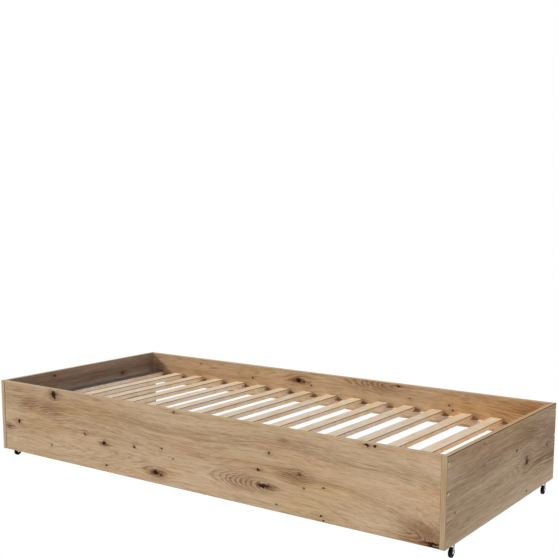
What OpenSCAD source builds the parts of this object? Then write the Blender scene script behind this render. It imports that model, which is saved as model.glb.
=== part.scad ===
// Under-bed box on four swivelling castors, with a slatted base that carries a mattress.
// Frame: X along the length, Y from the front board to the back board, Z up.
// The origin lies on the floor under the middle of the box.

/* [Box] */
// Outer length over the two end boards
box_length = 1846; // [1500:1:2300]
// Outer width over the front and back boards
box_width = 846; // [600:1:1100]
// Height of the front board and the end boards
board_height = 264; // [240:1:360]
// Height of the back board, which stops short of the bottom
back_board_height = 126; // [124:1:180]
// Thickness of every board
board_t = 18; // [16:0.5:25]

/* [Edge bands] */
// Thickness of the edge bands
band_t = 2; // [1:0.1:3]
// Radius of a band's rounded outer corners
band_round = 1.8; // [0.4:0.1:1.8]

/* [Slats] */
// Depth of the slat tops below the top of the boards
slat_drop = 76; // [60:1:80]
// Width of one slat
slat_w = 45; // [35:1:60]
// Thickness of one slat
slat_t = 16; // [12:0.5:20]
// Rounding of a slat's long corners
slat_round = 1.2; // [0.5:0.1:3]
// Space between the left end board and the first slat
first_slat_gap = 23.5; // [10:0.5:60]
// Space between the last slat and the right end board
last_slat_gap = 46.5; // [10:0.5:60]
// Play between a slat's end and the board beside it
slat_end_gap = 1.5; // [0.5:0.1:5]

/* [Ledges] */
// Width of the ledges that carry the slats
ledge_w = 20; // [18:0.5:30]
// Height of the ledges
ledge_h = 18; // [16:0.5:22]
// Play between a ledge's end and the end board
ledge_end_gap = 3; // [1:0.5:10]

/* [Fasteners] */
// Distance from the long edges of the back board to its end screws
screw_edge_in = 20; // [15:1:30]
// Diameter of an end screw
end_screw_d = 5; // [4:0.5:6]
// Length of an end screw
end_screw_length = 50; // [40:1:60]
// Diameter of an end screw's head
end_screw_head_d = 9; // [8:0.5:10]
// Diameter of the domed cover on a screw head
cap_d = 12; // [11:0.5:16]
// How far the domed cover stands off the board
cap_rise = 2; // [1:0.1:3]
// Diameter of a dowel
dowel_d = 8; // [6:1:10]
// Length of a dowel
dowel_length = 30; // [25:1:35]
// Height of the lowest dowel above the bottom of the front board
dowel_low = 30; // [25:1:40]
// Spacing of the two low dowels in the front board
dowel_step = 60; // [40:1:70]
// Diameter of the screws that hold the ledges
ledge_screw_d = 3.5; // [3:0.5:4]
// Length of the screws that hold the ledges
ledge_screw_length = 30; // [26:1:32]
// Diameter of the nails that hold the slats
nail_d = 2; // [1.5:0.1:2.5]
// Length of the nails that hold the slats
nail_length = 30; // [24:1:32]

/* [Castors] */
// Height of a castor, from the floor to the underside of the boards
castor_height = 39; // [38:0.5:50]
// Distance from the castor's swivel axis to the front or back of the box
castor_inset = 65; // [50:1:120]
// Distance from the swivel axis to the wheel's axle
trail = 5; // [3:0.5:7]
// Diameter of the wheel
wheel_d = 30; // [26:1:30]
// Width of the wheel's tread
wheel_w = 8; // [6:0.5:10]
// Diameter of the axle
axle_d = 4; // [3:0.5:5]
// Diameter of the stem that turns in the socket
stem_d = 8; // [6:0.5:9]
// Length of the stem inside the socket
stem_length = 34; // [25:1:40]
// Thickness of the pressed steel fork
fork_t = 1.5; // [1:0.1:2]

/* [Hidden] */
$fn = 64;

// Number of slats across the box
slat_count = 16;
// Every third slat, from the second, has a ledge screw beside it
ledge_screw_slats = [1, 4, 7, 10, 13];
// Each corner's name, and its side along X and along Y
CORNERS = [["front_left", -1, -1], ["front_right", 1, -1], ["back_left", -1, 1], ["back_right", 1, 1]];

// Play around a pin that stays put in its hole, and around one that turns
fixed_play = 0.05;
turning_play = 0.05;
// Space between faces of castor pieces that pass each other
castor_play = 0.3;
// Extra depth of a cut that has to break through a face
cut = 1;

board_bottom = castor_height;
board_top = castor_height + board_height;
// The rounding is limited by the band it is cut from
band_r = min(band_round, 0.95 * band_t);
inner_length = box_length - 2 * board_t;
inner_width = box_width - 2 * board_t;
side_y = box_width / 2;
end_x = box_length / 2;

slat_top = board_top - slat_drop;
slat_bottom = slat_top - slat_t;
slat_length = inner_width - 2 * slat_end_gap;
slat_pitch = (inner_length - first_slat_gap - last_slat_gap - slat_w) / (slat_count - 1);
ledge_length = inner_length - 2 * ledge_end_gap;
ledge_screw_z = slat_bottom - ledge_h / 2;
// A ledge screw sits just inside the left edge of its slat
ledge_screw_in = 5;
ledge_screw_head_d = 2 * ledge_screw_d;
ledge_screw_head_h = 0.7 * ledge_screw_d;
nail_head_d = 2.4 * nail_d;
nail_head_h = 1;
nail_y = inner_width / 2 - ledge_w / 2;

screw_high_z = board_top - screw_edge_in;
screw_low_z = board_top - back_board_height + screw_edge_in;
end_screw_head_h = 2.5;
end_screw_key_d = 4;
end_screw_key_depth = 2;
cap_peg_d = 3;
cap_peg_length = 1.6;
// Depth of a dowel in the end board
dowel_in_end = 10;
dowel_middle_z = (screw_high_z + screw_low_z) / 2;
back_dowel_heights = [dowel_middle_z];
front_dowel_heights = [dowel_middle_z, board_bottom + dowel_low + dowel_step, board_bottom + dowel_low];

wheel_r = wheel_d / 2;
wheel_hub_w = wheel_w + 0.8;
wheel_round = 1.5;
wheel_recess_depth = 1;
fork_inside = wheel_hub_w + 2 * castor_play;
fork_outside = fork_inside + 2 * fork_t;
fork_arm_w = 10;
fork_hub_r = 4.5;
socket_wall = 1.2;
socket_flange_h = 1.2;
socket_flange_d = stem_d + 6;
socket_d = stem_d + 2 * turning_play + 2 * socket_wall;
socket_length = stem_length + 2;
fork_top = board_bottom - socket_flange_h - castor_play;
axle_head_d = axle_d + 3;
axle_head_h = 1;
swivel_x = end_x - board_t / 2;
swivel_y = side_y - castor_inset;

function slat_x(i) = -inner_length / 2 + first_slat_gap + slat_w / 2 + i * slat_pitch;
function slat_name(i) = str("slat_", i < 9 ? "0" : "", i + 1);
function ledge_screw_x(i) = slat_x(i) - slat_w / 2 + ledge_screw_in;

// ---- Placing -------------------------------------------------------------

// Puts a piece drawn for the right end at the right (1) or the left (-1) end
module at_end(side) {
    if (side < 0) mirror([1, 0, 0]) children();
    else children();
}

// Puts a piece drawn for the back at the back (1) or the front (-1)
module at_side(side) {
    if (side < 0) mirror([0, 1, 0]) children();
    else children();
}

// Puts a castor piece, drawn about its swivel axis, at its corner
module at_castor(corner) {
    translate([corner[1] * swivel_x, corner[2] * swivel_y, 0]) children();
}

// A rod along X from x0 to x1 at the given place
module rod_x(x0, x1, y, z, d) {
    translate([x0, y, z]) rotate([0, 90, 0]) cylinder(d = d, h = x1 - x0);
}

// ---- Edge band section -----------------------------------------------------

// What a rounding takes off the corner of a section at the origin
module corner_waste(r) {
    difference() {
        translate([-cut, -cut]) square(r + cut);
        translate([r, r]) circle(r);
    }
}

// Section of a band: flat against the board, with two rounded outer corners
module band_section() {
    difference() {
        square([board_t, band_t]);
        translate([0, band_t]) mirror([0, 1]) corner_waste(band_r);
        translate([board_t, band_t]) mirror([1, 0]) mirror([0, 1]) corner_waste(band_r);
    }
}

// A band that lies along X on a board at the back; the outer face looks up
module band_along_x() {
    translate([-inner_length / 2, side_y - board_t, 0]) rotate([90, 0, 90])
        linear_extrude(inner_length) band_section();
}

// A band that lies along Y on the right end board; the outer face looks up
module band_along_y() {
    translate([end_x - board_t, side_y, 0]) rotate([90, 0, 0])
        linear_extrude(box_width) band_section();
}

// ---- Long boards -----------------------------------------------------------

// Holes in the ends of a long board for the end screws and the dowels
module long_board_end_holes(dowel_heights) {
    for (side = [-1, 1]) at_end(side) {
        for (z = [screw_high_z, screw_low_z])
            rod_x(end_x - end_screw_length - cut, end_x, side_y - board_t / 2, z,
                  end_screw_d + 2 * fixed_play);
        for (z = dowel_heights)
            rod_x(inner_length / 2 - dowel_length + dowel_in_end - cut, end_x,
                  side_y - board_t / 2, z, dowel_d + 2 * fixed_play);
    }
}

// A row of cylinders along Y, one at each ledge screw, from y0 to y1
module ledge_screw_row(y0, y1, d1, d2) {
    for (i = ledge_screw_slats)
        translate([ledge_screw_x(i), y0, ledge_screw_z]) rotate([-90, 0, 0])
            cylinder(d1 = d1, d2 = d2, h = y1 - y0);
}

// A long board of the given height, drawn at the back
module long_board(height, dowel_heights) {
    ledge_hole_d = ledge_screw_d + 2 * fixed_play;
    ledge_hole_end = inner_width / 2 - ledge_w + ledge_screw_length + cut;
    difference() {
        translate([-inner_length / 2, side_y - board_t, board_top - height + band_t])
            cube([inner_length, board_t, height - 2 * band_t]);
        long_board_end_holes(dowel_heights);
        ledge_screw_row(inner_width / 2 - cut, ledge_hole_end, ledge_hole_d, ledge_hole_d);
    }
}

// The band on the top edge of a long board, drawn at the back
module long_top_band() {
    translate([0, 0, board_top - band_t]) band_along_x();
}

// The band on the bottom edge of a long board of the given height
module long_bottom_band(height) {
    translate([0, 0, board_top - height + band_t]) mirror([0, 0, 1]) band_along_x();
}

module front_board() {
    color("burlywood") at_side(-1) long_board(board_height, front_dowel_heights);
}

module back_board() {
    color("burlywood") at_side(1) long_board(back_board_height, back_dowel_heights);
}

module front_board_top_band() {
    color("wheat") at_side(-1) long_top_band();
}

module front_board_bottom_band() {
    color("wheat") at_side(-1) long_bottom_band(board_height);
}

module back_board_top_band() {
    color("wheat") at_side(1) long_top_band();
}

module back_board_bottom_band() {
    color("wheat") at_side(1) long_bottom_band(back_board_height);
}

// ---- End boards ------------------------------------------------------------

// The hole for a castor socket, and the bottom band's hole in line with it
module socket_holes() {
    for (side = [-1, 1])
        translate([swivel_x, side * swivel_y, board_bottom - cut])
            cylinder(d = socket_d + 2 * fixed_play, h = socket_length + 2 * cut);
}

// An end board, drawn at the right: screw holes, dowel holes and socket holes
module end_board() {
    color("burlywood") difference() {
        translate([end_x - board_t, -side_y + band_t, board_bottom + band_t])
            cube([board_t, box_width - 2 * band_t, board_height - 2 * band_t]);
        for (side = [-1, 1]) {
            y = side * (side_y - board_t / 2);
            for (z = [screw_high_z, screw_low_z]) {
                rod_x(end_x - board_t - cut, end_x + cut, y, z, end_screw_d + 2 * fixed_play);
                rod_x(end_x - end_screw_head_h, end_x + cut, y, z, end_screw_head_d + 2 * fixed_play);
            }
            for (z = side < 0 ? front_dowel_heights : back_dowel_heights)
                rod_x(end_x - board_t - cut, end_x - board_t + dowel_in_end + fixed_play, y, z,
                      dowel_d + 2 * fixed_play);
        }
        socket_holes();
    }
}

module end_top_band() {
    color("wheat") translate([0, 0, board_top - band_t]) band_along_y();
}

module end_bottom_band() {
    color("wheat") difference() {
        translate([0, 0, board_bottom + band_t]) mirror([0, 0, 1]) band_along_y();
        socket_holes();
    }
}

// The upright band on the back edge of the right end board
module end_upright_band() {
    color("wheat") translate([end_x - board_t, side_y - band_t, board_bottom + band_t])
        linear_extrude(board_height - 2 * band_t) band_section();
}

// ---- Ledges and slats ------------------------------------------------------

// A ledge, drawn at the back, with countersunk screw holes and nail holes
module ledge() {
    face_y = inner_width / 2 - ledge_w;
    hole_d = ledge_screw_d + 2 * fixed_play;
    head_d = ledge_screw_head_d + 2 * fixed_play;
    nail_depth = nail_length - slat_t;
    color("blanchedalmond") difference() {
        translate([-ledge_length / 2, face_y, slat_bottom - ledge_h])
            cube([ledge_length, ledge_w, ledge_h]);
        ledge_screw_row(face_y - cut, inner_width / 2 + cut, hole_d, hole_d);
        ledge_screw_row(face_y, face_y + ledge_screw_head_h, head_d, hole_d);
        for (i = [0 : slat_count - 1])
            translate([slat_x(i), nail_y, slat_bottom - nail_depth - fixed_play])
                cylinder(d = nail_d + 2 * fixed_play, h = nail_depth + cut);
    }
}

// Section of a slat with its four rounded corners
module slat_section() {
    difference() {
        translate([-slat_w / 2, 0]) square([slat_w, slat_t]);
        for (side = [0, 1]) mirror([side, 0]) {
            translate([-slat_w / 2, 0]) corner_waste(slat_round);
            translate([-slat_w / 2, slat_t]) mirror([0, 1]) corner_waste(slat_round);
        }
    }
}

module slat(i) {
    color("blanchedalmond") translate([slat_x(i), 0, slat_bottom]) difference() {
        translate([0, slat_length / 2, 0]) rotate([90, 0, 0])
            linear_extrude(slat_length) slat_section();
        for (side = [-1, 1]) translate([0, side * nail_y, 0]) {
            translate([0, 0, -cut]) cylinder(d = nail_d + 2 * fixed_play, h = slat_t + 2 * cut);
            translate([0, 0, slat_t - nail_head_h])
                cylinder(d = nail_head_d + 2 * fixed_play, h = nail_head_h + cut);
        }
    }
}

// ---- Fasteners -------------------------------------------------------------

// Nails with flat heads, through both ends of every slat
module slat_nails() {
    color("silver") for (i = [0 : slat_count - 1]) for (side = [-1, 1])
        translate([slat_x(i), side * nail_y, slat_top]) {
            translate([0, 0, -nail_length]) cylinder(d = nail_d, h = nail_length - nail_head_h / 2);
            translate([0, 0, -nail_head_h]) cylinder(d = nail_head_d, h = nail_head_h);
        }
}

// Countersunk screws, through both ledges into the long boards
module ledge_screws() {
    face_y = inner_width / 2 - ledge_w;
    color("silver") for (side = [-1, 1]) at_side(side) {
        ledge_screw_row(face_y, face_y + ledge_screw_head_h, ledge_screw_head_d, ledge_screw_d);
        ledge_screw_row(face_y + ledge_screw_head_h / 2, face_y + ledge_screw_length,
                        ledge_screw_d, ledge_screw_d);
    }
}

// One end screw, its head level with the board's outer face, with a hex socket
module end_screw(y, z) {
    difference() {
        union() {
            rod_x(end_x - end_screw_length, end_x - end_screw_head_h / 2, y, z, end_screw_d);
            rod_x(end_x - end_screw_head_h, end_x, y, z, end_screw_head_d);
        }
        translate([end_x - end_screw_key_depth, y, z]) rotate([0, 90, 0])
            cylinder(d = end_screw_key_d, h = end_screw_key_depth + cut, $fn = 6);
    }
}

// The four screws of the right end board
module end_screws() {
    color("silver") for (side = [-1, 1]) for (z = [screw_high_z, screw_low_z])
        end_screw(side * (side_y - board_t / 2), z);
}

// One domed cover with a peg that plugs into the screw's hex socket
module screw_cap() {
    dome_r = (pow(cap_d / 2, 2) + pow(cap_rise, 2)) / (2 * cap_rise);
    rotate([0, 90, 0]) {
        rotate_extrude() intersection() {
            translate([0, cap_rise - dome_r]) circle(dome_r, $fn = 128);
            square([cap_d / 2, cap_rise]);
        }
        translate([0, 0, -cap_peg_length]) cylinder(d = cap_peg_d, h = cap_peg_length + cap_rise / 2);
    }
}

// The four covers of the right end board
module end_screw_caps() {
    color("goldenrod") for (side = [-1, 1]) for (z = [screw_high_z, screw_low_z])
        translate([end_x, side * (side_y - board_t / 2), z]) screw_cap();
}

// The dowels between the right end board and the long boards
module end_dowels() {
    x0 = inner_length / 2 - dowel_length + dowel_in_end;
    color("tan") {
        for (z = front_dowel_heights)
            rod_x(x0, x0 + dowel_length, -side_y + board_t / 2, z, dowel_d);
        for (z = back_dowel_heights)
            rod_x(x0, x0 + dowel_length, side_y - board_t / 2, z, dowel_d);
    }
}

// ---- Castors ---------------------------------------------------------------

// Flanged sleeve pressed into the bottom of the end board; the stem turns in it
module castor_socket() {
    color("dimgray") difference() {
        union() {
            translate([0, 0, board_bottom]) cylinder(d = socket_d, h = socket_length);
            translate([0, 0, board_bottom - socket_flange_h])
                cylinder(d = socket_flange_d, h = socket_flange_h);
        }
        translate([0, 0, board_bottom - socket_flange_h - cut])
            cylinder(d = stem_d + 2 * turning_play, h = stem_length + socket_flange_h + cut + castor_play);
    }
}

// Side outline of one fork arm, which leans from the stem down to the axle
module fork_arm_outline() {
    difference() {
        union() {
            translate([-trail, wheel_r]) circle(fork_hub_r);
            polygon([[-trail - fork_hub_r, wheel_r], [-trail + fork_hub_r, wheel_r],
                     [fork_arm_w / 2, fork_top], [-fork_arm_w / 2, fork_top]]);
        }
        translate([-trail, wheel_r]) circle(d = axle_d + 2 * fixed_play);
    }
}

// Pressed fork: a top plate, two leaning arms and the stem riveted to the plate
module castor_fork() {
    color("lightgray") {
        for (side = [0, 1]) mirror([side, 0, 0])
            translate([fork_inside / 2, 0, 0]) rotate([90, 0, 90])
                linear_extrude(fork_t) fork_arm_outline();
        translate([-fork_outside / 2, -fork_arm_w / 2, fork_top - fork_t])
            cube([fork_outside, fork_arm_w, fork_t]);
        translate([0, 0, fork_top - fork_t / 2])
            cylinder(d = stem_d, h = board_bottom + stem_length - fork_top + fork_t / 2);
    }
}

// Riveted axle with a flat head outside each arm
module castor_axle() {
    color("silver") translate([0, -trail, wheel_r]) {
        rod_x(-fork_outside / 2 - axle_head_h / 2, fork_outside / 2 + axle_head_h / 2, 0, 0, axle_d);
        for (side = [0, 1]) mirror([side, 0, 0])
            rod_x(fork_outside / 2, fork_outside / 2 + axle_head_h, 0, 0, axle_head_d);
    }
}

// Half of the wheel's section: bore, hub, recessed web and rounded tread
module wheel_half_section() {
    bore_r = axle_d / 2 + turning_play;
    hub_r = bore_r + 2.5;
    rim_r = wheel_r - 4;
    difference() {
        union() {
            translate([bore_r, 0]) square([hub_r - bore_r, wheel_hub_w / 2]);
            translate([bore_r, 0]) square([wheel_r - bore_r, wheel_w / 2]);
        }
        translate([hub_r, wheel_w / 2 - wheel_recess_depth])
            square([rim_r - hub_r, wheel_recess_depth + cut]);
        translate([wheel_r, wheel_w / 2]) mirror([1, 0]) mirror([0, 1]) corner_waste(wheel_round);
    }
}

module castor_wheel() {
    color("black") translate([0, -trail, wheel_r]) rotate([0, 90, 0])
        rotate_extrude($fn = 96) for (side = [0, 1]) mirror([0, side]) wheel_half_section();
}

// ---- Assembly --------------------------------------------------------------

front_board();
back_board();
at_end(-1) end_board();  // left_end_board
at_end(1) end_board();  // right_end_board
front_board_top_band();
front_board_bottom_band();
back_board_top_band();
back_board_bottom_band();
at_end(-1) end_top_band();  // left_end_top_band
at_end(-1) end_bottom_band();  // left_end_bottom_band
at_end(-1) at_side(-1) end_upright_band();  // left_end_front_band
at_end(-1) at_side(1) end_upright_band();  // left_end_back_band
at_end(1) end_top_band();  // right_end_top_band
at_end(1) end_bottom_band();  // right_end_bottom_band
at_end(1) at_side(-1) end_upright_band();  // right_end_front_band
at_end(1) at_side(1) end_upright_band();  // right_end_back_band
at_side(-1) ledge();  // front_ledge
at_side(1) ledge();  // back_ledge
for (i = [0 : slat_count - 1]) slat(i);
ledge_screws();
slat_nails();
at_end(-1) end_screws();  // left_end_screws
at_end(1) end_screws();  // right_end_screws
at_end(-1) end_screw_caps();  // left_end_screw_caps
at_end(1) end_screw_caps();  // right_end_screw_caps
at_end(-1) end_dowels();  // left_end_dowels
at_end(1) end_dowels();  // right_end_dowels
for (c = CORNERS) at_castor(c) castor_socket();
for (c = CORNERS) at_castor(c) castor_fork();
for (c = CORNERS) at_castor(c) castor_axle();
for (c = CORNERS) at_castor(c) castor_wheel();
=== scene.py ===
"""Looks for the under-bed box: knotty oak boards, pale slats, brass covers and black castors.

Lengths are in metres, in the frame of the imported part: X along the box, Y from front to back,
Z up, with the origin on the floor under the middle of the box.
"""

from __future__ import annotations

import logging
import math
from collections.abc import Sequence
from dataclasses import dataclass, field
from enum import Enum

import bmesh
import bpy
from mathutils import Matrix, Vector

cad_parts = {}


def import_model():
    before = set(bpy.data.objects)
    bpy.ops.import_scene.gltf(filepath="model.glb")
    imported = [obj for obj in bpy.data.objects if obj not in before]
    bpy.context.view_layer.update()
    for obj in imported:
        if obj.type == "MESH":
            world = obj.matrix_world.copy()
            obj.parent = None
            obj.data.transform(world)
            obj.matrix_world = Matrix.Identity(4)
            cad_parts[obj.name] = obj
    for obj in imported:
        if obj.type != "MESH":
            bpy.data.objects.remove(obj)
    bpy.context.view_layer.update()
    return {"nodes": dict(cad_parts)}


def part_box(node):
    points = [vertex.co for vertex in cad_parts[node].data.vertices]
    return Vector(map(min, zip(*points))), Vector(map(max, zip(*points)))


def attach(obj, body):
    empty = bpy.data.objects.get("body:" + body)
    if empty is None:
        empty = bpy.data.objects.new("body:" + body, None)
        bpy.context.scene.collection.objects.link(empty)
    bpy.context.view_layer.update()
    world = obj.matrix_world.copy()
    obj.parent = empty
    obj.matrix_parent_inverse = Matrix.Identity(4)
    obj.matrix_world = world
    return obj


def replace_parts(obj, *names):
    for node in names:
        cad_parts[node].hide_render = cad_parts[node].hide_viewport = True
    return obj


LOG = logging.getLogger("under_bed_box")
MM = 0.001
TOUCH = 0.001 * MM

Colour = tuple[float, float, float]
Point = tuple[float, float, float]
Pair = tuple[float, float]
Mesh = bmesh.types.BMesh
Socket = bpy.types.NodeSocket
Material = bpy.types.Material
Thing = bpy.types.Object
Input = Socket | float | Sequence[float]


class Grain(Enum):
    """The way that a piece's grain runs, as the order of X, Y and Z in (along, through, across)."""

    LENGTH = (0, 1, 2)
    DEPTH = (1, 0, 2)
    UPRIGHT = (2, 1, 0)
    FLAT_LENGTH = (0, 2, 1)
    FLAT_DEPTH = (1, 2, 0)


class Corner(Enum):
    """The four corners of the box that have a castor."""

    FRONT_LEFT = "front_left"
    FRONT_RIGHT = "front_right"
    BACK_LEFT = "back_left"
    BACK_RIGHT = "back_right"


# ---- Shader graphs ---------------------------------------------------------


class Graph:
    """Adds nodes to one material and joins them up."""

    def __init__(self, name: str) -> None:
        """Start a material with a Principled shader.

        Args:
            name: The material's name.
        """
        self.material = bpy.data.materials.new(name)
        self.material.use_nodes = True
        self.tree = self.material.node_tree
        self.shader = self.tree.nodes["Principled BSDF"]

    def node(self, kind: str, **settings: object) -> bpy.types.Node:
        """Add one node.

        Args:
            kind: The node's type, without its ShaderNode start.
            **settings: Properties to set on it.

        Returns:
            The node.
        """
        made = self.tree.nodes.new("ShaderNode" + kind)
        for key, value in settings.items():
            setattr(made, key, value)
        return made

    def put(self, socket: Socket, value: Input) -> None:
        """Join a socket to an output, or set it to a number, a point or a colour.

        Args:
            socket: The input to fill.
            value: What goes into it.
        """
        if isinstance(value, Socket):
            self.tree.links.new(value, socket)
        elif isinstance(value, (int, float)):
            size = len(socket.default_value) if hasattr(socket.default_value, "__len__") else 0
            socket.default_value = [value] * size if size else value
        else:
            wide = len(socket.default_value)
            socket.default_value = [*value, 1.0] if wide > len(value) else list(value)

    def math(self, operation: str, *values: Input, clamp: bool = False) -> Socket:
        """Do one sum on numbers.

        Args:
            operation: The Math node's operation.
            *values: Its inputs.
            clamp: Whether the result is kept from 0 to 1.

        Returns:
            The result.
        """
        made = self.node("Math", operation=operation, use_clamp=clamp)
        for socket, value in zip(made.inputs, values, strict=False):
            self.put(socket, value)
        return made.outputs[0]

    def vector(self, operation: str, *values: Input) -> Socket:
        """Do one sum on vectors.

        Args:
            operation: The Vector Math node's operation.
            *values: Its inputs; for SCALE, the vector and the factor.

        Returns:
            The result, a number for LENGTH.
        """
        made = self.node("VectorMath", operation=operation)
        sockets = [made.inputs[0], made.inputs[3]] if operation == "SCALE" else made.inputs
        for socket, value in zip(sockets, values, strict=False):
            self.put(socket, value)
        return made.outputs[1] if operation == "LENGTH" else made.outputs[0]

    def smooth(
        self, value: Input, low: float, high: float, start: float = 0.0, end: float = 1.0
    ) -> Socket:
        """Map a number smoothly from low..high to start..end.

        Args:
            value: The number to map.
            low: Where the change starts.
            high: Where the change ends.
            start: The result at low.
            end: The result at high.

        Returns:
            The mapped number.
        """
        made = self.node("MapRange", interpolation_type="SMOOTHSTEP")
        for socket, number in zip(made.inputs, (value, low, high, start, end), strict=False):
            self.put(socket, number)
        return made.outputs[0]

    def noise(self, place: Socket, stretch: Point, detail: float = 2.0, rough: float = 0.5) -> Socket:
        """Sample noise at a stretched place.

        Args:
            place: The coordinates.
            stretch: How many waves a metre along each of them.
            detail: The number of finer layers.
            rough: The strength of the finer layers.

        Returns:
            A number about 0.5.
        """
        made = self.node("TexNoise")
        self.put(made.inputs["Vector"], self.vector("MULTIPLY", place, stretch))
        self.put(made.inputs["Scale"], 1.0)
        self.put(made.inputs["Detail"], detail)
        self.put(made.inputs["Roughness"], rough)
        return made.outputs["Fac"]

    def ramp(self, value: Input, stops: Sequence[tuple[float, Colour]]) -> Socket:
        """Turn a number into a colour.

        Args:
            value: The number, from 0 to 1.
            stops: Places and colours along the ramp.

        Returns:
            The colour.
        """
        made = self.node("ValToRGB")
        marks = made.color_ramp.elements
        while len(marks) < len(stops):
            marks.new(0.5)
        for mark, (place, colour) in zip(marks, stops, strict=True):
            mark.position = place
            mark.color = (*colour, 1.0)
        self.put(made.inputs[0], value)
        return made.outputs[0]

    def mix(self, share: Input, first: Input, second: Input, blend: str = "MIX") -> Socket:
        """Mix two colours.

        Args:
            share: How much of the second one shows.
            first: The colour underneath.
            second: The colour on top.
            blend: The blend mode.

        Returns:
            The mixed colour.
        """
        made = self.node("Mix", data_type="RGBA", blend_type=blend)
        self.put(made.inputs[0], share)
        self.put(made.inputs[6], first)
        self.put(made.inputs[7], second)
        return made.outputs[2]

    def bump(self, height: Input, strength: float, distance: float) -> None:
        """Feed a height to the shader's normal.

        Args:
            height: The height, about 0 to 1.
            strength: How strongly it shows.
            distance: The depth of the relief in metres.
        """
        made = self.node("Bump")
        self.put(made.inputs["Strength"], strength)
        self.put(made.inputs["Distance"], distance)
        self.put(made.inputs["Height"], height)
        self.tree.links.new(made.outputs["Normal"], self.shader.inputs["Normal"])

    def surface(self, colour: Input, rough: Input, gloss: float | None = None) -> None:
        """Set what the shader shows.

        Args:
            colour: Its base colour.
            rough: Its roughness.
            gloss: Its specular level, where that isn't the usual one.
        """
        self.put(self.shader.inputs["Base Color"], colour)
        self.put(self.shader.inputs["Roughness"], rough)
        if gloss is not None:
            self.put(self.shader.inputs["Specular IOR Level"], gloss)

    def place(self) -> Socket:
        """Give the object coordinates."""
        return self.node("TexCoord").outputs["Object"]

    def axes(self, place: Socket, grain: Grain) -> Socket:
        """Turn coordinates so that they run along, through and across the grain.

        Args:
            place: The coordinates as X, Y and Z.
            grain: The way that the grain runs.

        Returns:
            The turned coordinates.
        """
        parts = self.node("SeparateXYZ")
        self.put(parts.inputs[0], place)
        joined = self.node("CombineXYZ")
        for socket, index in zip(joined.inputs, grain.value, strict=True):
            self.put(socket, parts.outputs[index])
        return joined.outputs[0]


# ---- Finishes --------------------------------------------------------------


@dataclass(frozen=True)
class Knot:
    """A knot on one face of a board: a dark heart, a brown halo, and grain that flows round it."""

    along: float
    across: float
    size: float = 0.004
    dark: float = 0.9
    halo: float = 0.5
    bend: float = 0.5
    tall: float = 0.8


@dataclass(frozen=True)
class Arch:
    """Nested arches in the grain, with their tips one behind the other along the board."""

    along: float
    length: float
    height: float
    side: float = -1.0


@dataclass(frozen=True)
class Fan:
    """Grain that runs together into one point, as at a cut branch."""

    along: float
    across: float
    pull: float


@dataclass(frozen=True)
class ShadeSeam:
    """A fine dark line of painted shade, where a joint or a rounded edge turns away from the key light,
    at one place on one axis.
    """

    part: int
    place: float
    width: float = 0.002
    dark: float = 0.6


@dataclass(frozen=True)
class Figure:
    """What marks the face of one board: its knots, its arches about one axis, and its fans."""

    knots: tuple[Knot, ...] = ()
    arches: tuple[Arch, ...] = ()
    fans: tuple[Fan, ...] = ()
    # Fine dark lines of painted shade.
    shade_seams: tuple[ShadeSeam, ...] = ()
    axis: float = 0.5
    fall: float = 0.0
    fall_from: float = 0.35
    fall_to: float = 0.90
    open_height: float = 0.0


@dataclass(frozen=True)
class OakTones:
    """The four colours that the oak's grain runs through, from the darkest line up."""

    line: Colour = (0.275, 0.162, 0.088)
    dark: Colour = (0.425, 0.275, 0.153)
    middle: Colour = (0.590, 0.414, 0.250)
    light: Colour = (0.715, 0.535, 0.360)


@dataclass(frozen=True)
class OakWaves:
    """How many waves a metre each layer of the oak has, along, through and across the grain."""

    bands: Point = (0.9, 5.0, 17.0)
    streaks: Point = (3.4, 50.0, 90.0)
    ripples: Point = (15.0, 150.0, 280.0)
    pores: Point = (38.0, 300.0, 850.0)
    rosy: Point = (1.9, 7.0, 9.0)
    honey: Point = (1.4, 7.0, 7.0)
    swell: Point = (1.3, 5.0, 4.0)
    relief: Point = (14.0, 60.0, 420.0)
    ragged: float = 110.0
    years: float = 1350.0


@dataclass(frozen=True)
class KnotEdges:
    """Where each layer of a knot fades out and is full, in knot sizes from its middle."""

    heart: Pair = (1.2, 0.8)
    rim: Pair = (1.7, 0.6)
    halo: Pair = (4.8, 0.5)
    rim_dark: float = 0.8
    spread: Point = (0.55, 1.0, 1.0)


@dataclass(frozen=True)
class OakShares:
    """How strongly each layer of the oak shows."""

    base: float = 0.60
    bands: float = 1.15
    streaks: float = 0.62
    ripples: float = 1.15
    years: float = 0.12
    years_in_halo: float = 0.50
    halo: float = -0.12
    rosy: float = 0.65
    honey: float = 0.6
    pores: float = 0.40
    swell: float = 0.11
    years_by_bands: float = 22.0
    years_by_streaks: float = 7.0
    halo_base: float = 1.30
    halo_by_ripples: float = -1.5
    halo_by_years: float = 0.40
    rough_by_streaks: float = 0.16
    rough_by_pores: float = 0.12
    relief: float = 0.35


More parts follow.
